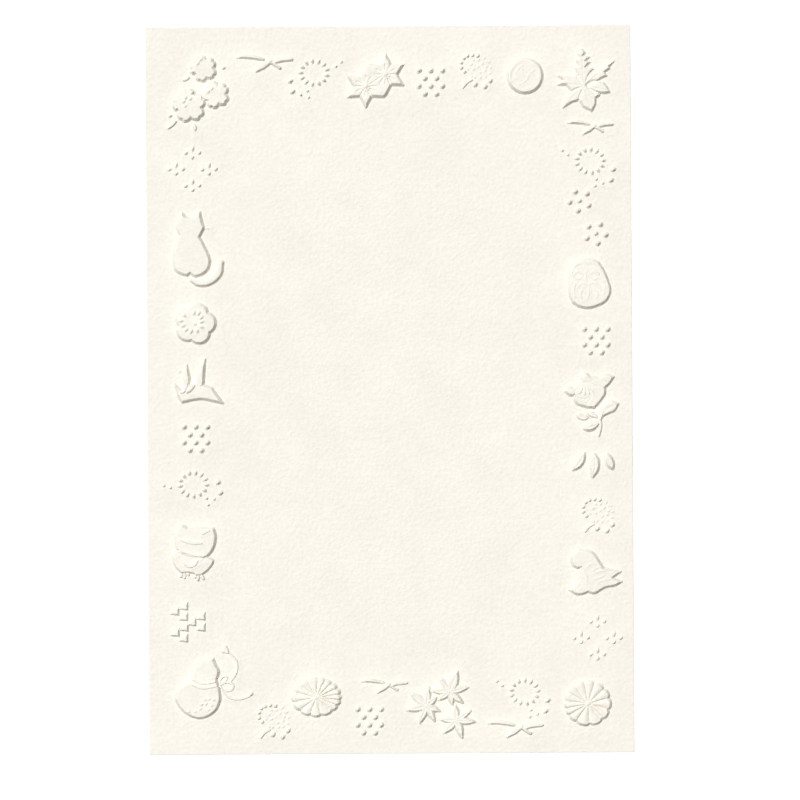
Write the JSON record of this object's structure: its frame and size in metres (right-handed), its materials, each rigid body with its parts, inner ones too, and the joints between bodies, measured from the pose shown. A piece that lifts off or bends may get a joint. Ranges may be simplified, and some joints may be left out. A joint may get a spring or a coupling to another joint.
{
  "type": "letter paper",
  "caption": "Flat sheet of thick letter paper with a blank middle and a border of small blind-embossed ornaments, hollow on the back.",
  "frame": {"origin": "middle of the back face, on the surface the sheet lies on", "axes": "+X across the page to the right, +Y up the page, +Z out of the embossed face"},
  "size_m": [0.14, 0.21, 0.0014],
  "materials": {
    "paper": "matt uncoated cream paper with a fine tooth"
  },
  "bodies": {
    "root": {"letter_sheet": "paper"}
  },
  "joints": []
}
